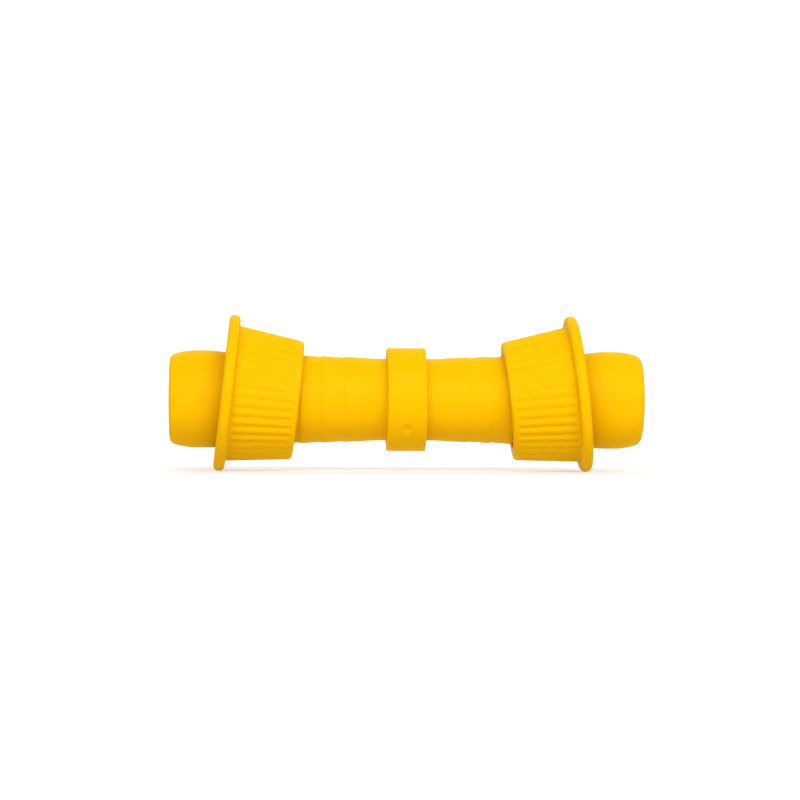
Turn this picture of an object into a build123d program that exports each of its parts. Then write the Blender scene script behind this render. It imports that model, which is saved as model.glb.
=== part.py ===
from build123d import *
import os
from math import atan, cos, degrees, radians, sin

# Straight union for thin-walled lay-flat irrigation hose. A hollow barrel has a bulbous spigot at
# each end and a collar in the middle. A conical, flanged lock ring rides loosely on each side of
# the collar: the hose goes over the bulb and in under the ring, and the ring is then pulled
# outward so that it wedges the hose against the bulb.
#
# Frame: origin on the bore's axis in the middle of the collar, +X along the barrel, +Z up.
# The union stands on its two ring flanges, so each ring leans and the barrel hangs inside them.
# All sizes are in millimetres and degrees.

# ---- driving dimensions: barrel ----
HALF_LENGTH = 67.95
BORE_R = 10.0
COLLAR_HALF_WIDTH = 5.6
COLLAR_R = 14.9
COLLAR_EDGE_FILLET = 0.45
BULB_R = 14.0                # takes a 28 mm hose
BULB_LAND_START = 57.3       # the cylindrical land on which the hose seats
BULB_LAND_END = 60.3
NECK_R = 12.5                # plain tube between the catch steps and the bulb
NECK_END = 44.5              # where the bulb's back slope starts
NOSE_R = 12.9                # where the bulb's front slope meets the end's corner
NOSE_CORNER = 0.9
MOUTH_FILLET = 0.5           # inside edge of each end

# ---- driving dimensions: catch steps along the tube ----
WAIST_R = 11.8               # tube beside the collar
WAIST_END = 8.5
STEP_COUNT = 3
STEP_PITCH = 6.3
STEP_FIRST_X = 17.7          # from the middle to the first step's crest
STEP_FIRST_R = 12.3
STEP_RISE = 0.22             # each crest is this much larger than the one before
STEP_DROP = 0.2              # height of each step's outward face
STEP_RUN = 0.7               # length of each step's outward face

# ---- driving dimensions: dished gate recess in the collar ----
GATE_R = 1.9
GATE_DEPTH = 0.5
GATE_NUB_R = 0.5
GATE_NUB_HEIGHT = 0.2
GATE_ANGLE = 35.0            # below -Y, round the barrel's axis

# ---- driving dimensions: lock ring ----
RING_LENGTH = 22.2
FLANGE_THICKNESS = 3.3
FLANGE_R = 22.6
FLANGE_RIM_FILLET = 1.5
FLANGE_ROOT_FILLET = 0.5
CONE_R_SMALL = 17.1
CONE_R_LARGE = 19.6
CONE_EDGE_FILLET = 1.0
RING_BORE_R_SMALL = 13.5
RING_BORE_R_LARGE = 17.1
RING_BORE_FILLET = 0.4
RIB_COUNT = 42
GROOVE_R = 0.9               # round cutter for the groove between two ribs
GROOVE_DEPTH = 0.35
GROOVE_START = 1.9           # first groove end, from the small end
GROOVE_STOP = 0.7            # last groove end, short of the flange

# ---- driving dimensions: how the rings sit ----
LEFT_RING_LEAN = 6.2
RIGHT_RING_LEAN = 6.35
LEFT_RING_DROP = 0.39        # small end's centre below the barrel's axis
RIGHT_RING_DROP = 0.45
LEFT_RING_X = 31.15          # small end's centre, from the middle of the collar
RIGHT_RING_X = 29.45
LEFT_RING_TURN = 1.5         # turned about the vertical
RIGHT_RING_TURN = -1.2
LEFT_GROOVE_PHASE = 3.2      # one groove's place below -Y
RIGHT_GROOVE_PHASE = 1.7


def half_barrel():
    """Revolve one half of the barrel from the collar's middle to its end face."""
    points = [(0, COLLAR_R), (COLLAR_HALF_WIDTH, COLLAR_R), (COLLAR_HALF_WIDTH, WAIST_R)]
    points.append((WAIST_END, WAIST_R))
    for step in range(STEP_COUNT):
        crest_x = STEP_FIRST_X + step * STEP_PITCH
        crest_r = STEP_FIRST_R + step * STEP_RISE
        points.append((crest_x, crest_r))
        points.append((crest_x + STEP_RUN, crest_r - STEP_DROP))
    points.append((NECK_END, NECK_R))
    corner_x = HALF_LENGTH - NOSE_CORNER
    tube = Polyline(*points)
    back_slope = Spline((NECK_END, NECK_R), (BULB_LAND_START, BULB_R), tangents=[(1, 0), (1, 0)])
    land = Line((BULB_LAND_START, BULB_R), (BULB_LAND_END, BULB_R))
    front_slope = TangentArc((BULB_LAND_END, BULB_R), (corner_x, NOSE_R), tangent=(1, 0))
    corner = Polyline((corner_x, NOSE_R), (HALF_LENGTH, NOSE_R - NOSE_CORNER), (HALF_LENGTH, BORE_R))
    inside = Polyline((HALF_LENGTH, BORE_R), (0, BORE_R), (0, COLLAR_R))
    section = make_face([tube, back_slope, land, front_slope, corner, inside])
    collar_edge = section.vertices().sort_by_distance((COLLAR_HALF_WIDTH, COLLAR_R))[0]
    section = fillet(collar_edge, COLLAR_EDGE_FILLET)
    mouth_edge = section.vertices().sort_by_distance((HALF_LENGTH, BORE_R))[0]
    section = fillet(mouth_edge, MOUTH_FILLET)
    return revolve(section, Axis.X, 360)


def make_barrel():
    """Join the two halves and sink the moulding gate's dished recess into the collar."""
    half = half_barrel()
    barrel = half + mirror(half, Plane.YZ)
    gate = Rot(X=90 + GATE_ANGLE) * Pos(Z=COLLAR_R - GATE_DEPTH)
    dish_r = (GATE_R**2 + GATE_DEPTH**2) / (2 * GATE_DEPTH)
    barrel -= gate * Pos(Z=dish_r) * Sphere(dish_r)
    barrel += gate * Cylinder(GATE_NUB_R, 2 * GATE_NUB_HEIGHT)
    return barrel


def make_plain_ring():
    """Revolve a lock ring with its small end at the origin and its flange out along +X."""
    flange_back = RING_LENGTH - FLANGE_THICKNESS
    points = [(0, RING_BORE_R_SMALL), (0, CONE_R_SMALL), (flange_back, CONE_R_LARGE)]
    points += [(flange_back, FLANGE_R), (RING_LENGTH, FLANGE_R), (RING_LENGTH, RING_BORE_R_LARGE)]
    fillets = [RING_BORE_FILLET, CONE_EDGE_FILLET, FLANGE_ROOT_FILLET]
    fillets += [FLANGE_RIM_FILLET, FLANGE_RIM_FILLET, RING_BORE_FILLET]
    section = make_face(Polyline(*points, close=True))
    for point, radius in zip(points, fillets):
        section = fillet(section.vertices().sort_by_distance(point)[0], radius)
    return revolve(section, Axis.X, 360)


def make_groove():
    """Round-ended cutter that lies along the top of the cone."""
    half_angle = atan((CONE_R_LARGE - CONE_R_SMALL) / (RING_LENGTH - FLANGE_THICKNESS))
    run = (RING_LENGTH - FLANGE_THICKNESS - GROOVE_START - GROOVE_STOP) / cos(half_angle)
    start_r = CONE_R_SMALL + GROOVE_START * sin(half_angle) + GROOVE_R - GROOVE_DEPTH
    rod = Cylinder(GROOVE_R, run, align=(Align.CENTER, Align.CENTER, Align.MIN))
    rod += Sphere(GROOVE_R) + Pos(Z=run) * Sphere(GROOVE_R)
    return Pos(X=GROOVE_START, Z=start_r) * Rot(Y=90 - degrees(half_angle)) * rod


def make_ring(groove_phase):
    """Cut the grip grooves round the cone."""
    groove = make_groove()
    pitch = 360 / RIB_COUNT
    cutters = [Rot(X=90 + groove_phase + index * pitch) * groove for index in range(RIB_COUNT)]
    return make_plain_ring() - cutters


def seat_right(ring):
    """Lean and turn a ring about its middle and move it to the barrel's +X side."""
    shift = RING_LENGTH / 2 * sin(radians(RIGHT_RING_TURN))
    seat = Pos(RIGHT_RING_X, -shift, -RIGHT_RING_DROP)
    return seat * Rot(Z=RIGHT_RING_TURN) * Rot(Y=-RIGHT_RING_LEAN) * ring


def seat_left(ring):
    """Face a ring the other way, lean and turn it and move it to the barrel's -X side."""
    shift = RING_LENGTH / 2 * sin(radians(LEFT_RING_TURN))
    seat = Pos(-LEFT_RING_X, shift, -LEFT_RING_DROP)
    return seat * Rot(Z=LEFT_RING_TURN) * Rot(Y=LEFT_RING_LEAN) * Rot(Z=180) * ring


def main():
    os.makedirs("parts", exist_ok=True)
    export_step(make_barrel(), "parts/barrel.step")
    export_step(seat_left(make_ring(-LEFT_GROOVE_PHASE)), "parts/left_ring.step")
    export_step(seat_right(make_ring(RIGHT_GROOVE_PHASE)), "parts/right_ring.step")


main()
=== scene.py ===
# %% [markdown]
# # A lay-flat hose coupling in moulded yellow plastic
# The object is a straight union for thin-walled irrigation hose. One hollow barrel has a bulb at
# each end, a collar in the middle and three shallow catch steps on each side of the collar. A
# conical lock ring with a flange and fine grip ribs rides loosely on each side. Every piece is
# round, so the whole lesson is about turning: how to draw a good outline, how to spin it into a
# clean mesh of quads, and how to press ribs and small moulding marks into the spun surface.
# The CAD model gives each piece's size and place, and the pieces made here stand in those places.

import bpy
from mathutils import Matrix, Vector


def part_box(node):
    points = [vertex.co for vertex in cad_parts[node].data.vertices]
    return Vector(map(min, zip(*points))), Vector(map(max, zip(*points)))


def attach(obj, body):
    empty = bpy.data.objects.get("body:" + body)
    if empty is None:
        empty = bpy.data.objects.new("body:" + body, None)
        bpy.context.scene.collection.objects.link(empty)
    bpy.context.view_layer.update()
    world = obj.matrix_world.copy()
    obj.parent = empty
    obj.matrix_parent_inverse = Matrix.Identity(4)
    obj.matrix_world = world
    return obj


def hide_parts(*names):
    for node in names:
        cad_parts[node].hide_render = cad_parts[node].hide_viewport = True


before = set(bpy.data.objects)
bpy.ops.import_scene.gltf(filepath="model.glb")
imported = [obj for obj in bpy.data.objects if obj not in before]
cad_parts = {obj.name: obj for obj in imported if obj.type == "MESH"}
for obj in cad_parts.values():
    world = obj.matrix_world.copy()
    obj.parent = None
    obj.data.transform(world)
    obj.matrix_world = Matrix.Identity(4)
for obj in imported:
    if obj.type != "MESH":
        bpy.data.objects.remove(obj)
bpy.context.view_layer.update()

# %% [markdown]
# ## Measures
# Blender works in metres and the maker's drawing is in millimetres, so one constant turns the one
# into the other. The lengths that matter most are read back from the CAD nodes and not typed
# again: the barrel's half length and its largest radius, and where each ring stands. The turned
# outlines below are in millimetres, and the mesh builder scales them at the end.

# %% Read the main measures from the CAD nodes
import math

import bmesh
import bpy
from mathutils import Matrix, Vector

MM = 0.001

barrel_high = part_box("barrel")[1]
half_length = barrel_high.x / MM
collar_r = barrel_high.z / MM
floor_z = min(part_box("left_ring")[0].z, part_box("right_ring")[0].z)
print("half length %.2f mm, collar radius %.2f mm" % (half_length, collar_r))
print("the flanges stand %.2f mm below the barrel's axis" % (-floor_z / MM))

# %% [markdown]
# ## Drawing an outline with rounded corners
# A moulded piece has no sharp corner, because the tool is cut with a round cutter and the plastic
# shrinks away from an edge. An outline is therefore a list of corners, each with its own rounding.
# Bevel modifiers could round them after spinning, but a rounding in the outline gives even,
# ring-shaped rows of faces and exact radii, so each corner is replaced by a short arc here.


# %% Replace each corner by an arc
TINY_ROUNDING = 0.2
MOST_OF_HALF_A_RUN = 0.48


def round_corner(before, corner, after, radius):
    """Points of the arc that rounds one corner of an outline; a tiny arc needs fewer of them."""
    pieces = 6 if radius > TINY_ROUNDING else 3
    a = Vector(before) - Vector(corner)
    b = Vector(after) - Vector(corner)
    half_angle = a.angle(b) / 2
    longest_setback = MOST_OF_HALF_A_RUN * min(a.length, b.length)
    setback = min(radius / math.tan(half_angle), longest_setback)
    radius = setback * math.tan(half_angle)
    start = Vector(corner) + a.normalized() * setback
    end = Vector(corner) + b.normalized() * setback
    centre = Vector(corner) + (a.normalized() + b.normalized()).normalized() * (
        radius / math.sin(half_angle)
    )
    points = []
    for k in range(pieces + 1):
        t = k / pieces
        blend = (start - centre) * (1 - t) + (end - centre) * t
        points.append(tuple(centre + blend.normalized() * radius))
    return points


def rounded_outline(corners):
    """Closed outline from (x, r, rounding) corners, in millimetres."""
    points = []
    for k, (x, r, rounding) in enumerate(corners):
        before = corners[k - 1][:2]
        after = corners[(k + 1) % len(corners)][:2]
        if rounding > 0:
            points += round_corner(before, (x, r), after, rounding)
        else:
            points.append((x, r))
    return points


# %% [markdown]
# A long straight run between two corners would become one long face. Ribs and grooves need rows of
# vertices along the run, and even rows also shade better, so each run is cut into steps no longer
# than a given length. The length may change along X, to put more rows where a small mark needs them.


# %% Cut long runs of the outline into short steps
def with_short_steps(points, longest):
    """The same closed outline with no step longer than longest(x)."""
    result = []
    for k, point in enumerate(points):
        after = points[(k + 1) % len(points)]
        run = math.dist(point, after)
        cuts = max(1, math.ceil(run / longest(point[0])))
        for j in range(cuts):
            t = j / cuts
            result.append(tuple(p + (q - p) * t for p, q in zip(point, after)))
    return result


# %% [markdown]
# ## Spinning the outline
# Blender's Screw modifier or bmesh.ops.spin would both turn an outline into a round body. Building
# the rings of vertices directly is just as short, and it has one advantage: each vertex can ask a
# relief function how far it should stand proud of the plain turned surface at its place and angle.
# That is how the ribs, the gate recess and the mould's parting line become real geometry.


# %% Spin an outline round the X axis
def turned_mesh(name, outline, sides, relief):
    """Mesh object from a closed outline; relief(x, r, angle) gives millimetres to add to r."""
    mesh_maker = bmesh.new()
    rows = []
    for x, r in outline:
        row = []
        for k in range(sides):
            angle = 2 * math.pi * k / sides
            reach = r + relief(x, r, angle)
            place = Vector((x, reach * math.cos(angle), reach * math.sin(angle))) * MM
            row.append(mesh_maker.verts.new(place))
        rows.append(row)
    for i, row in enumerate(rows):
        following = rows[(i + 1) % len(rows)]
        for k in range(sides):
            j = (k + 1) % sides
            mesh_maker.faces.new((row[k], row[j], following[j], following[k]))
    bmesh.ops.recalc_face_normals(mesh_maker, faces=mesh_maker.faces)
    mesh = bpy.data.meshes.new(name)
    mesh_maker.to_mesh(mesh)
    mesh_maker.free()
    for face in mesh.polygons:
        face.use_smooth = True
    piece = bpy.data.objects.new(name, mesh)
    bpy.context.scene.collection.objects.link(piece)
    print("%s: %d faces" % (name, len(mesh.polygons)))
    return piece


# %% [markdown]
# ## The barrel's outline
# The barrel is drawn from the collar outward. Beside the collar is a plain waist. After it come
# the catch steps: the tube swells slowly and drops back sharply, so a hose slides on easily and is
# held by the small outward faces. Then a plain neck leads to the bulb. The bulb's back slope is a
# smooth S, its crest is a short cylinder on which the hose seats, and its front is an arc that
# guides the hose on. Both halves are the same, so one half is drawn and mirrored.

# %% Barrel measures in millimetres
BORE_R = 10.0
COLLAR_HALF = 5.6
WAIST_R = 11.8
WAIST_END = 8.5
STEP_CRESTS = ((17.7, 12.3), (24.0, 12.52), (30.3, 12.74))
STEP_DROP = 0.2
STEP_RUN = 0.45
NECK_R = 12.5
NECK_END = 44.5
BULB_R = 14.0
LAND_START = 57.3
LAND_END = 60.3
NOSE_R = 12.9
NOSE_CORNER = 0.9

COLLAR_EDGE = 0.45
COLLAR_ROOT = 0.3
WAIST_BEND = 0.9
STEP_CREST_EDGE = 0.06
STEP_FOOT_BEND = 0.08
NOSE_EDGE = 0.8
MOUTH_EDGE = 0.5


# %% [markdown]
# The two curved stretches are sampled as points: a cubic that leaves and arrives level for the
# back slope, and a circle that leaves the crest level and ends at the nose's corner for the front.


# %% Curved stretches of the bulb
def back_slope(count=14):
    """Level-to-level S from the neck up to the bulb's crest."""
    points = []
    for k in range(1, count):
        t = k / count
        rise = t * t * (3 - 2 * t)
        points.append((NECK_END + (LAND_START - NECK_END) * t, NECK_R + (BULB_R - NECK_R) * rise))
    return points


def front_slope(count=12):
    """Arc that falls away from the crest to the nose."""
    run = half_length - NOSE_CORNER - LAND_END
    fall = BULB_R - NOSE_R
    radius = (run * run + fall * fall) / (2 * fall)
    points = []
    for k in range(1, count):
        x = run * k / count
        points.append((LAND_END + x, BULB_R - radius + math.sqrt(radius * radius - x * x)))
    return points


# %% [markdown]
# The corner list carries a rounding for each corner. The collar's edges are well rounded, its
# roots less so, and the catch steps are nearly crisp, because the tool is sharp there on purpose.


# %% One half of the barrel, from the collar's middle to the mouth
def half_barrel_corners():
    """Outer corners of one half, each with its rounding."""
    corners = [
        (COLLAR_HALF, collar_r, COLLAR_EDGE),
        (COLLAR_HALF, WAIST_R, COLLAR_ROOT),
        (WAIST_END, WAIST_R, WAIST_BEND),
    ]
    for x, r in STEP_CRESTS:
        corners.append((x, r, STEP_CREST_EDGE))
        corners.append((x + STEP_RUN, r - STEP_DROP, STEP_FOOT_BEND))
    corners.append((NECK_END, NECK_R, 0))
    corners += [(x, r, 0) for x, r in back_slope()]
    corners += [(LAND_START, BULB_R, 0), (LAND_END, BULB_R, 0)]
    corners += [(x, r, 0) for x, r in front_slope()]
    corners.append((half_length - NOSE_CORNER, NOSE_R, NOSE_EDGE))
    corners.append((half_length, NOSE_R - NOSE_CORNER, NOSE_EDGE))
    corners.append((half_length, BORE_R, MOUTH_EDGE))
    return corners


CLOSE_ROWS = 0.3
WIDE_ROWS = 1.8


def barrel_row_gap(x):
    """Rows of vertices are close within the collar, for the gate mark, and wider elsewhere."""
    return CLOSE_ROWS if abs(x) < COLLAR_HALF else WIDE_ROWS


right_half = half_barrel_corners()
left_half = [(-x, r, rounding) for x, r, rounding in reversed(right_half)]
barrel_outline = with_short_steps(rounded_outline(left_half + right_half), barrel_row_gap)
print("barrel outline has %d points" % len(barrel_outline))

# %% [markdown]
# ## Moulding marks on the barrel
# Three marks say how the barrel was made. The two halves of the mould met along a plane, which
# leaves a hair-thin raised line along the top and the bottom. Molten plastic came in through the
# collar, which leaves a round recess with a small nub where the gate broke off. Inside, two core
# pins met in the middle and left a faint raised ring. All are small reliefs on the turned surface,
# and each relief first asks whether a place lies on its own surface.

# %% Measures of the moulding marks in millimetres and degrees
GATE_R = 1.95
GATE_DEPTH = 0.5
NUB_R = 0.5
NUB_HEIGHT = 0.18
NUB_FADE = 0.4
GATE_BELOW = 35.0
PARTING_HEIGHT = 0.05
PARTING_HALF_WIDTH = 0.16
PARTING_FADE = 0.3
CORE_MARK_HEIGHT = 0.06
CORE_MARK_HALF_WIDTH = 0.3
CORE_MARK_FADE = 0.5
SAME_SURFACE = 0.05
SMALLEST_OUTSIDE_R = WAIST_R - 0.3


# %% Relief of the barrel
def soft_step(value, edge, width):
    """1 well below the edge, 0 well above it, and a smooth fall between."""
    t = min(1.0, max(0.0, (edge + width / 2 - value) / width))
    return t * t * (3 - 2 * t)


def gate_relief(x, r, angle):
    """Dished recess with a nub, on the collar's outside only."""
    if r < collar_r - SAME_SURFACE:
        return 0.0
    centre = math.radians(180 + GATE_BELOW)
    around = math.atan2(math.sin(angle - centre), math.cos(angle - centre)) * collar_r
    away = math.hypot(x, around)
    dish = (1 + math.cos(math.pi * min(1.0, away / GATE_R))) / 2
    return NUB_HEIGHT * soft_step(away, NUB_R, NUB_FADE) - GATE_DEPTH * dish


def parting_relief(x, r, angle):
    """Hair-thin raised line along the outside, at the top and the bottom."""
    on_collar = r > collar_r - SAME_SURFACE
    if r < SMALLEST_OUTSIDE_R or abs(x) > half_length - NOSE_CORNER or on_collar:
        return 0.0
    around = abs(math.cos(angle)) * r
    return PARTING_HEIGHT * soft_step(around, PARTING_HALF_WIDTH, PARTING_FADE)


def barrel_relief(x, r, angle):
    """Everything that stands proud of the turned barrel, or is sunk in it."""
    if r < BORE_R + 0.01:
        return -CORE_MARK_HEIGHT * soft_step(abs(x), CORE_MARK_HALF_WIDTH, CORE_MARK_FADE)
    return gate_relief(x, r, angle) + parting_relief(x, r, angle)


# %% Make the barrel
BARREL_SIDES = 256

barrel = turned_mesh("coupling_barrel", barrel_outline, BARREL_SIDES, barrel_relief)
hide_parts("barrel")
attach(barrel, "barrel")

# %% [markdown]
# ## The lock ring's outline
# The ring is a sleeve with a conical outside, a conical hole that opens outward, and a thin flange
# with a fully rounded rim to pull on. It is drawn with its small end at zero and its flange out
# along X. The rounding at the flange's rim is almost half its thickness, so the rim looks like a
# bead from the side.

# %% Lock ring measures in millimetres
RING_LENGTH = 22.2
FLANGE_BACK = 18.9
FLANGE_R = 22.6
CONE_R_SMALL = 17.1
CONE_R_LARGE = 19.6
HOLE_R_SMALL = 13.5
HOLE_R_LARGE = 17.1
HOLE_EDGE = 0.4
CONE_EDGE = 1.0
FLANGE_ROOT = 0.55
FLANGE_RIM = 1.5
RING_ROWS = 0.45

ring_corners = [
    (0, HOLE_R_SMALL, HOLE_EDGE),
    (0, CONE_R_SMALL, CONE_EDGE),
    (FLANGE_BACK, CONE_R_LARGE, FLANGE_ROOT),
    (FLANGE_BACK, FLANGE_R, FLANGE_RIM),
    (RING_LENGTH, FLANGE_R, FLANGE_RIM),
    (RING_LENGTH, HOLE_R_LARGE, HOLE_EDGE),
]
ring_outline = with_short_steps(rounded_outline(ring_corners), lambda x: RING_ROWS)
print("ring outline has %d points" % len(ring_outline))

# %% [markdown]
# ## Grip ribs
# The grooves between the ribs run straight up the cone. They start softly behind a plain lip at
# the small end and die out in the rounding at the flange's root. The crests are broad and the
# grooves narrower, as a ball-nosed cutter leaves them in the tool, so the groove is the top of a
# cosine raised to a power: the higher the power, the narrower the groove.


# %% Relief of the grip ribs
RIB_COUNT = 42
RIB_DEPTH = 0.3
GROOVE_START = 1.7
GROOVE_START_FADE = 0.9
GROOVE_END_FADE = 0.7
GROOVE_POWER = 1.25
OFF_THE_CONE = 0.12


def rib_relief(x, r, angle, phase):
    """Depth of the grooves at a place on the cone; zero on every other face."""
    along = x / FLANGE_BACK
    cone_r = CONE_R_SMALL + (CONE_R_LARGE - CONE_R_SMALL) * along
    if abs(r - cone_r) > OFF_THE_CONE:
        return 0.0
    lip = 1 - soft_step(x, GROOVE_START, GROOVE_START_FADE)
    root = soft_step(x, FLANGE_BACK - FLANGE_ROOT, GROOVE_END_FADE)
    wave = (1 + math.cos(RIB_COUNT * (angle - phase))) / 2
    return -RIB_DEPTH * wave**GROOVE_POWER * lip * root


# %% [markdown]
# ## Standing the rings on the barrel
# Both rings are loose. The union stands on their flanges, so each ring leans in over the collar
# and may be turned a little about the vertical. The lean and turn are the drawing's, and the place
# comes from the CAD node: the ring is turned first, and then its box is laid over the node's box.

# %% Make both rings
SIDES_PER_RIB = 16
RING_SEATS = (
    # name, CAD node, faces left, lean, turn, one groove's place below the viewer's side
    ("lock_ring_left", "left_ring", True, 6.2, 1.5, 3.2),
    ("lock_ring_right", "right_ring", False, 6.35, -1.2, 1.7),
)


def seat_ring(ring, node, faces_left, lean, turn):
    """Turn the ring's mesh as it stands and move it into the CAD node's place."""
    way_round = 180 if faces_left else 0
    tilt = lean if faces_left else -lean
    turned = Matrix.Rotation(math.radians(turn), 4, "Z") @ Matrix.Rotation(math.radians(tilt), 4, "Y")
    ring.data.transform(turned @ Matrix.Rotation(math.radians(way_round), 4, "Z"))
    low = Vector([min(v.co[k] for v in ring.data.vertices) for k in range(3)])
    high = Vector([max(v.co[k] for v in ring.data.vertices) for k in range(3)])
    node_low, node_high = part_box(node)
    move = (node_low + node_high) / 2 - (low + high) / 2
    ring.data.transform(Matrix.Translation(move))
    print("%s moved by %s mm" % (ring.name, [round(c / MM, 3) for c in move]))


for name, node, faces_left, lean, turn, below in RING_SEATS:
    groove_side = -below if faces_left else below
    phase = math.radians((0 if faces_left else 180) + groove_side)
    ring = turned_mesh(
        name,
        ring_outline,
        RIB_COUNT * SIDES_PER_RIB,
        lambda x, r, angle: rib_relief(x, r, angle, phase),
    )
    seat_ring(ring, node, faces_left, lean, turn)
    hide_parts(node)
    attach(ring, node)

# %% [markdown]
# ## Moulded yellow plastic
# The real finish is polyethylene or polypropylene, coloured right through. It is satin rather than
# glossy, and a little light goes into it, which keeps the shadows warm and orange. Up close the
# colour wanders slightly where the melt flowed, the skin has a fine grain from the eroded tool, and
# handled edges are a touch paler and smoother. One function builds the flow marks, the grain and the
# paler edges, and the barrel and the rings get their own small differences, because they come from
# different moulds.


# %% Build the plastic
MIX_FACTOR, MIX_A, MIX_B, MIX_RESULT = 0, 6, 7, 2  # the Mix node's sockets in colour mode


def moulded_plastic(name, colour, deeper, paler, flow_stretch):
    """Satin coloured plastic with flow marks, grain, and paler handled edges."""
    material = bpy.data.materials.new(name)
    material.use_nodes = True
    tree = material.node_tree
    nodes, links = tree.nodes, tree.links
    shader = nodes["Principled BSDF"]
    shader.inputs["IOR"].default_value = 1.5
    shader.inputs["Subsurface Weight"].default_value = 0.2
    shader.inputs["Subsurface Radius"].default_value = (1.0, 0.45, 0.05)
    shader.inputs["Subsurface Scale"].default_value = 0.0012
    shader.inputs["Specular IOR Level"].default_value = 0.02

    place = nodes.new("ShaderNodeTexCoord")
    stretch = nodes.new("ShaderNodeMapping")
    stretch.inputs["Scale"].default_value = flow_stretch
    links.new(place.outputs["Object"], stretch.inputs["Vector"])

    flow = nodes.new("ShaderNodeTexNoise")
    flow.inputs["Scale"].default_value = 60.0
    flow.inputs["Detail"].default_value = 4.0
    flow.inputs["Distortion"].default_value = 0.6
    links.new(stretch.outputs["Vector"], flow.inputs["Vector"])

    flow_colour = nodes.new("ShaderNodeValToRGB")
    flow_colour.color_ramp.elements[0].position = 0.3
    flow_colour.color_ramp.elements[0].color = deeper
    flow_colour.color_ramp.elements[1].position = 0.7
    flow_colour.color_ramp.elements[1].color = colour
    links.new(flow.outputs["Fac"], flow_colour.inputs["Fac"])

    shape = nodes.new("ShaderNodeNewGeometry")
    edges = nodes.new("ShaderNodeMapRange")
    edges.inputs["From Min"].default_value = 0.52
    edges.inputs["From Max"].default_value = 0.62
    edges.inputs["To Max"].default_value = 0.35
    links.new(shape.outputs["Pointiness"], edges.inputs["Value"])

    worn = nodes.new("ShaderNodeMix")
    worn.data_type = "RGBA"
    worn.inputs[MIX_B].default_value = paler
    links.new(edges.outputs["Result"], worn.inputs[MIX_FACTOR])
    links.new(flow_colour.outputs["Color"], worn.inputs[MIX_A])
    links.new(worn.outputs[MIX_RESULT], shader.inputs["Base Color"])

    patches = nodes.new("ShaderNodeTexNoise")
    patches.inputs["Scale"].default_value = 140.0
    patches.inputs["Detail"].default_value = 6.0
    links.new(place.outputs["Object"], patches.inputs["Vector"])
    sheen_range = nodes.new("ShaderNodeMapRange")
    sheen_range.inputs["To Min"].default_value = 0.42
    sheen_range.inputs["To Max"].default_value = 0.58
    links.new(patches.outputs["Fac"], sheen_range.inputs["Value"])
    links.new(sheen_range.outputs["Result"], shader.inputs["Roughness"])

    grain = nodes.new("ShaderNodeTexNoise")
    grain.inputs["Scale"].default_value = 2600.0
    grain.inputs["Detail"].default_value = 3.0
    links.new(place.outputs["Object"], grain.inputs["Vector"])
    fine = nodes.new("ShaderNodeBump")
    fine.inputs["Strength"].default_value = 0.25
    fine.inputs["Distance"].default_value = 0.00004
    links.new(grain.outputs["Fac"], fine.inputs["Height"])
    waves = nodes.new("ShaderNodeBump")
    waves.inputs["Strength"].default_value = 0.3
    waves.inputs["Distance"].default_value = 0.0003
    links.new(flow.outputs["Fac"], waves.inputs["Height"])
    links.new(fine.outputs["Normal"], waves.inputs["Normal"])
    links.new(waves.outputs["Normal"], shader.inputs["Normal"])
    return material


barrel_plastic = moulded_plastic(
    "barrel_yellow_plastic",
    colour=(0.76, 0.408, 0.0003, 1),
    deeper=(0.74, 0.391, 0.0002, 1),
    paler=(0.78, 0.445, 0.001, 1),
    flow_stretch=(0.35, 1.0, 1.0),
)
ring_plastic = moulded_plastic(
    "ring_yellow_plastic",
    colour=(0.76, 0.411, 0.0003, 1),
    deeper=(0.74, 0.395, 0.0002, 1),
    paler=(0.78, 0.45, 0.001, 1),
    flow_stretch=(0.5, 1.0, 1.0),
)
print("plastics:", barrel_plastic.name, ring_plastic.name)
barrel.data.materials.append(barrel_plastic)
for name, *_ in RING_SEATS:
    bpy.data.objects[name].data.materials.append(ring_plastic)

# %% [markdown]
# ## Floor
# The union stands on a plain white sweep: one large sheet at the height of the flanges' lowest
# points, bent up softly a long way behind, so that no corner shows. Small parts are often shown
# on a light table, whose white sheet glows a little from below, and the paper here does the same.
# It keeps the ground bright and the contact shadows faint, and it fills the undersides of the
# flanges, which a lamp from above can't reach.


# %% Make the sweep, with its measures in metres
BEND_START = 0.9
BEND_R = 0.5
BEND_PIECES = 12
WALL_HEIGHT = 2.6


def white_sweep():
    """Sheet that lies under the union and curves up behind it."""
    sheet_maker = bmesh.new()
    profile = [(-12.0, 0.0), (-2.6, 0.0), (-0.6, 0.0), (BEND_START, 0.0)]
    for k in range(1, BEND_PIECES + 1):
        a = math.pi / 2 * k / BEND_PIECES
        profile.append((BEND_START + BEND_R * math.sin(a), BEND_R * (1 - math.cos(a))))
    profile.append((BEND_START + BEND_R, WALL_HEIGHT))
    rows = []
    for x in (-12.0, -2.5, 0.0, 2.5, 12.0):
        rows.append([sheet_maker.verts.new((x, y, floor_z + z)) for y, z in profile])
    for left, right in zip(rows, rows[1:]):
        for k in range(len(profile) - 1):
            sheet_maker.faces.new((left[k], right[k], right[k + 1], left[k + 1]))
    mesh = bpy.data.meshes.new("white_sweep")
    sheet_maker.to_mesh(mesh)
    sheet_maker.free()
    for face in mesh.polygons:
        face.use_smooth = True
    sweep = bpy.data.objects.new("white_sweep", mesh)
    bpy.context.scene.collection.objects.link(sweep)
    return sweep


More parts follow.
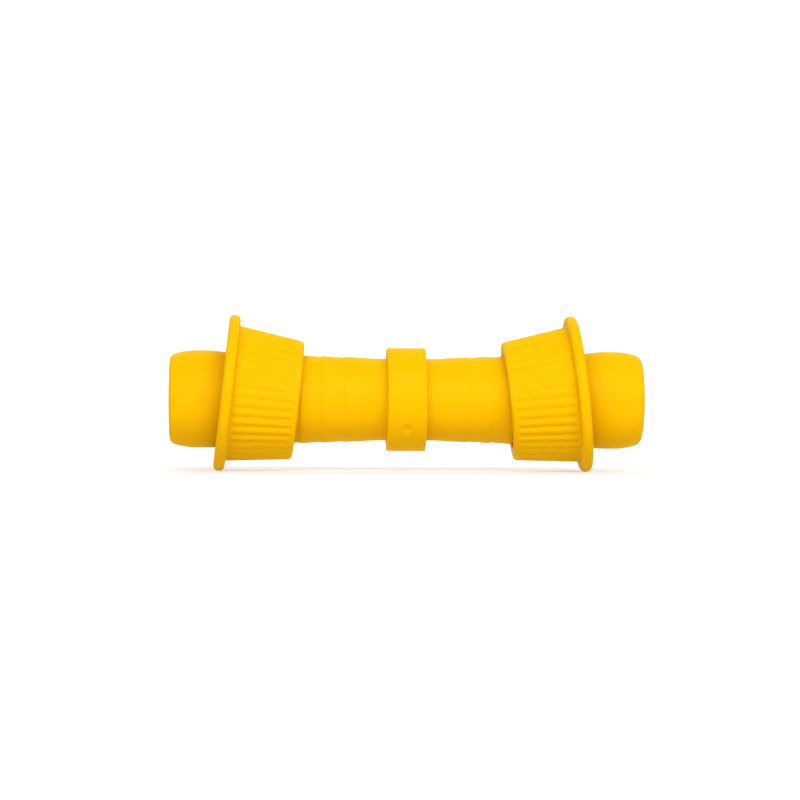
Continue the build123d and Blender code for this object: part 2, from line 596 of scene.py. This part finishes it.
sweep = white_sweep()
paper = bpy.data.materials.new("white_paper")
paper.use_nodes = True
paper_shader = paper.node_tree.nodes["Principled BSDF"]
paper_shader.inputs["Base Color"].default_value = (0.5, 0.5, 0.5, 1)
paper_shader.inputs["Emission Color"].default_value = (1, 1, 1, 1)
paper_shader.inputs["Emission Strength"].default_value = 0.4
paper_shader.inputs["Roughness"].default_value = 0.9
paper_shader.inputs["Specular IOR Level"].default_value = 0.1
sweep.data.materials.append(paper)
print("the sweep lies at %.2f mm" % (floor_z / MM))

# %% [markdown]
# ## Light
# The light is a soft studio: one broad lamp stands in front and above, and a second one is aimed
# at the sweep behind, so that the ground stays white. Area lamps give soft shadow edges, and wide
# ones wrap the light round a cylinder. The surround fills the rest. It is brighter near the
# horizon, as bright as the far end of the floor, so the two meet without a line.


# %% Add the lamps
def soft_lamp(name, place, aim, width, height, power):
    """Rectangular area lamp pointed at a place."""
    lamp = bpy.data.lights.new(name, "AREA")
    lamp.shape = "RECTANGLE"
    lamp.size = width
    lamp.size_y = height
    lamp.energy = power
    holder = bpy.data.objects.new(name, lamp)
    holder.location = place
    holder.rotation_euler = (Vector(aim) - Vector(place)).to_track_quat("-Z", "Y").to_euler()
    bpy.context.scene.collection.objects.link(holder)
    return holder


soft_lamp(
    "key_lamp", place=(0.08, -1.04, 0.76), aim=(0, 0, 0), width=2.0, height=0.6, power=25
)
backdrop_lamp = soft_lamp(
    "backdrop_lamp", place=(0, 0.6, 0.8), aim=(0, 1.2, floor_z), width=1.6, height=0.5, power=18
)
backdrop_lamp.visible_glossy = False
print("lamps: key_lamp and", backdrop_lamp.name)

# %% [markdown]
# The surround's strength is blended by how high a direction points, and the blend is soft at both
# ends, so that no edge shows in the sky.

# %% Add the surround
HORIZON_STRENGTH = 0.52
OVERHEAD_STRENGTH = 0.2


def studio_surround():
    """White surround that is brighter near the horizon than overhead."""
    world = bpy.data.worlds.new("white_room")
    world.use_nodes = True
    nodes, links = world.node_tree.nodes, world.node_tree.links
    direction = nodes.new("ShaderNodeTexCoord")
    parts = nodes.new("ShaderNodeSeparateXYZ")
    links.new(direction.outputs["Generated"], parts.inputs["Vector"])
    strength = nodes.new("ShaderNodeMapRange")
    strength.interpolation_type = "SMOOTHSTEP"
    strength.inputs["From Min"].default_value = 0.1
    strength.inputs["From Max"].default_value = 0.3
    strength.inputs["To Min"].default_value = HORIZON_STRENGTH
    strength.inputs["To Max"].default_value = OVERHEAD_STRENGTH
    links.new(parts.outputs["Z"], strength.inputs["Value"])
    links.new(strength.outputs["Result"], nodes["Background"].inputs["Strength"])
    nodes["Background"].inputs["Color"].default_value = (1, 1, 1, 1)
    return world


bpy.context.scene.world = studio_surround()
bpy.context.scene.view_settings.view_transform = "Standard"

# %% [markdown]
# ## Camera
# The camera looks level at the union from 0.8 m away through a long lens, from a little left of
# square on. A long lens keeps the flanges' edges almost straight.

# %% Place the camera
SENSOR_WIDTH = 36.0
CAMERA_DISTANCE = 0.8
CAMERA_FROM_LEFT = math.radians(2.3)
CAMERA_ROLL = math.radians(0.22)
VIEW_WIDTH = 0.2312
AIM = Vector((-0.00165, 0, -0.00012))

camera_data = bpy.data.cameras.new("camera")
camera_data.sensor_width = SENSOR_WIDTH
camera_data.lens = SENSOR_WIDTH * CAMERA_DISTANCE / VIEW_WIDTH
camera_data.clip_start = 0.01
camera = bpy.data.objects.new("camera", camera_data)
look = Vector((math.sin(CAMERA_FROM_LEFT), math.cos(CAMERA_FROM_LEFT), 0))
camera.location = AIM - look * CAMERA_DISTANCE
upright = look.to_track_quat("-Z", "Y").to_matrix().to_4x4()
camera.rotation_euler = (upright @ Matrix.Rotation(CAMERA_ROLL, 4, "Z")).to_euler()
bpy.context.scene.collection.objects.link(camera)
bpy.context.scene.camera = camera
print("camera lens %.1f mm" % camera_data.lens)
